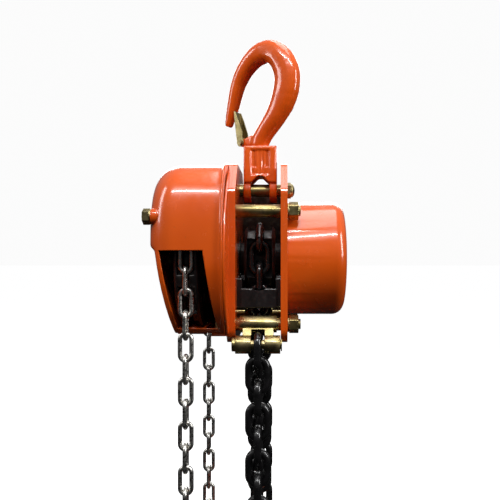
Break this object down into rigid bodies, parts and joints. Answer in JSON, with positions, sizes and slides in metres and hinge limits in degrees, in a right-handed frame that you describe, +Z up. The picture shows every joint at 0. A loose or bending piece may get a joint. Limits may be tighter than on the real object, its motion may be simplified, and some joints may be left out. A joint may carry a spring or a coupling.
{
  "type": "chain hoist",
  "caption": "Manual chain hoist with a hand wheel under a pressed cover, screw brake, gear train, load sheave, load and hand chains, and swivelling top and bottom hooks with latches",
  "frame": {"origin": "the point inside the top hook where the hook bears on what it hangs from, on the swivel axis", "axes": "+Z up along the line of hang, +X along the drive shaft from the hand wheel to the gears, -Y towards the slack side of the load chain"},
  "size_m": [0.2385, 0.234, 0.8391],
  "materials": {
    "orange_enamel": "gloss enamel over forged, cast and pressed steel",
    "zinc_yellow": "yellow chromated zinc plate",
    "zinc_bright": "bright zinc plated chain",
    "black_chain": "gloss black heat-treated chain",
    "black_iron": "black painted cast iron",
    "steel": "oiled machined steel",
    "bronze": "sintered bronze",
    "friction": "pressed friction lining"
  },
  "bodies": {
    "top_hook": {"top_hook": "orange_enamel", "top_hook_nut": "steel", "top_latch_pin": "zinc_yellow", "top_latch_spring": "steel"},
    "top_latch": {"top_latch": "zinc_yellow"},
    "top_yoke": {"top_yoke": "orange_enamel"},
    "hoist_body": {"suspension_pin": "zinc_yellow", "suspension_nut": "zinc_yellow", "side_plate_wheel_side": "orange_enamel", "side_plate_gear_side": "orange_enamel", "stay_bolts": "zinc_yellow", "stay_nuts": "zinc_yellow", "stay_washers": "zinc_yellow", "sheave_outer_races": "steel", "sheave_balls": "steel", "chain_guide": "black_iron", "chain_stripper": "zinc_yellow", "chain_guard": "black_iron", "anchor_bracket": "zinc_yellow", "anchor_pin": "zinc_yellow", "gear_cover": "orange_enamel", "gear_end_plate": "steel", "gear_end_studs": "steel", "ratchet_disc": "steel", "pawl_pins": "steel", "pawl_springs": "steel", "wheel_case_back": "orange_enamel", "hand_wheel_cover": "orange_enamel", "cover_studs": "zinc_yellow", "cover_nuts": "zinc_yellow", "hand_chain_on_wheel": "zinc_bright", "hand_chain_loop": "zinc_bright", "load_chain_on_sheave": "black_chain", "load_chain_slack": "black_chain", "load_chain_exit": "black_chain"},
    "load_sheave": {"load_sheave": "black_iron", "sheave_inner_races": "steel", "sheave_bushes": "bronze", "load_gear": "steel", "load_gear_ring": "steel"},
    "intermediate_front": {"intermediate_gear_front": "steel"},
    "intermediate_rear": {"intermediate_gear_rear": "steel"},
    "hand_wheel": {"drive_shaft": "steel", "brake_hub": "steel", "friction_discs": "friction", "hand_wheel": "black_iron", "hand_wheel_nut": "zinc_yellow"},
    "pawl_front": {"pawl_front": "steel"},
    "pawl_rear": {"pawl_rear": "steel"},
    "load_strand": {"load_chain_strand": "black_chain"},
    "lower_yoke": {"lower_yoke_left": "orange_enamel", "lower_yoke_right": "orange_enamel", "lower_yoke_bolts": "zinc_yellow", "chain_pin": "steel", "thrust_bearing": "steel"},
    "lower_hook": {"lower_hook": "orange_enamel", "lower_latch_pin": "zinc_yellow", "lower_latch_spring": "steel"},
    "lower_latch": {"lower_latch": "zinc_yellow"}
  },
  "joints": [
    {"name": "top_latch_hinge", "type": "hinge", "parent": "top_hook", "child": "top_latch", "pos_m": [-0.02338, 0.0135, -0.103], "axis": [0.5, 0.866, 0], "range_deg": [0, 38], "stiffness_Nm_per_rad": 0.05, "springref_deg": -34.38},
    {"name": "yoke_swivel", "type": "hinge", "parent": "top_hook", "child": "top_yoke", "pos_m": [0, 0, -0.12], "axis": [0, 0, 1], "continuous": true},
    {"name": "body_swing", "type": "hinge", "parent": "top_yoke", "child": "hoist_body", "pos_m": [0, 0, -0.167], "axis": [1, 0, 0], "range_deg": [-20, 20]},
    {"name": "sheave_spin", "type": "hinge", "parent": "hoist_body", "child": "load_sheave", "pos_m": [0, 0, -0.255], "axis": [1, 0, 0], "range_deg": [-90, 90], "deforming": ["load_chain_on_sheave"]},
    {"name": "hand_wheel_spin", "type": "hinge", "parent": "hoist_body", "child": "hand_wheel", "pos_m": [-0.08, 0, -0.255], "axis": [1, 0, 0], "continuous": true, "deforming": ["hand_chain_on_wheel"]},
    {"name": "intermediate_front_spin", "type": "hinge", "parent": "hoist_body", "child": "intermediate_front", "pos_m": [0.05, -0.036, -0.255], "axis": [1, 0, 0], "continuous": true},
    {"name": "intermediate_rear_spin", "type": "hinge", "parent": "hoist_body", "child": "intermediate_rear", "pos_m": [0.05, 0.036, -0.255], "axis": [1, 0, 0], "continuous": true},
    {"name": "pawl_front_hinge", "type": "hinge", "parent": "hoist_body", "child": "pawl_front", "pos_m": [-0.05, -0.03786, -0.20094], "axis": [1, 0, 0], "range_deg": [0, 12], "stiffness_Nm_per_rad": 0.05, "springref_deg": -34.38},
    {"name": "pawl_rear_hinge", "type": "hinge", "parent": "hoist_body", "child": "pawl_rear", "pos_m": [-0.05, 0.03786, -0.30906], "axis": [1, 0, 0], "range_deg": [0, 12], "stiffness_Nm_per_rad": 0.05, "springref_deg": -34.38},
    {"name": "load_chain_swing", "type": "hinge", "parent": "hoist_body", "child": "load_strand", "pos_m": [0, 0.03052, -0.3765], "axis": [1, 0, 0], "range_deg": [-7, 15]},
    {"name": "hook_travel", "type": "slide", "parent": "load_strand", "child": "lower_yoke", "axis": [0, 0, 1], "range_m": [-0.054, 0.054], "deforming": ["load_chain_strand"]},
    {"name": "hook_swivel", "type": "hinge", "parent": "lower_yoke", "child": "lower_hook", "pos_m": [0, 0.03052, -0.68], "axis": [0, 0, 1], "continuous": true},
    {"name": "lower_latch_hinge", "type": "hinge", "parent": "lower_hook", "child": "lower_latch", "pos_m": [0.027, 0.03052, -0.6827], "axis": [0, 1, 0], "range_deg": [0, 38], "stiffness_Nm_per_rad": 0.05, "springref_deg": -34.38}
  ],
  "couplings": [
    {"joint": "hand_wheel_spin", "follows": "sheave_spin", "ratio": 25},
    {"joint": "intermediate_front_spin", "follows": "sheave_spin", "ratio": -5},
    {"joint": "intermediate_rear_spin", "follows": "sheave_spin", "ratio": -5},
    {"joint": "hook_travel", "follows": "sheave_spin", "m_per_rad": 0.034377}
  ]
}
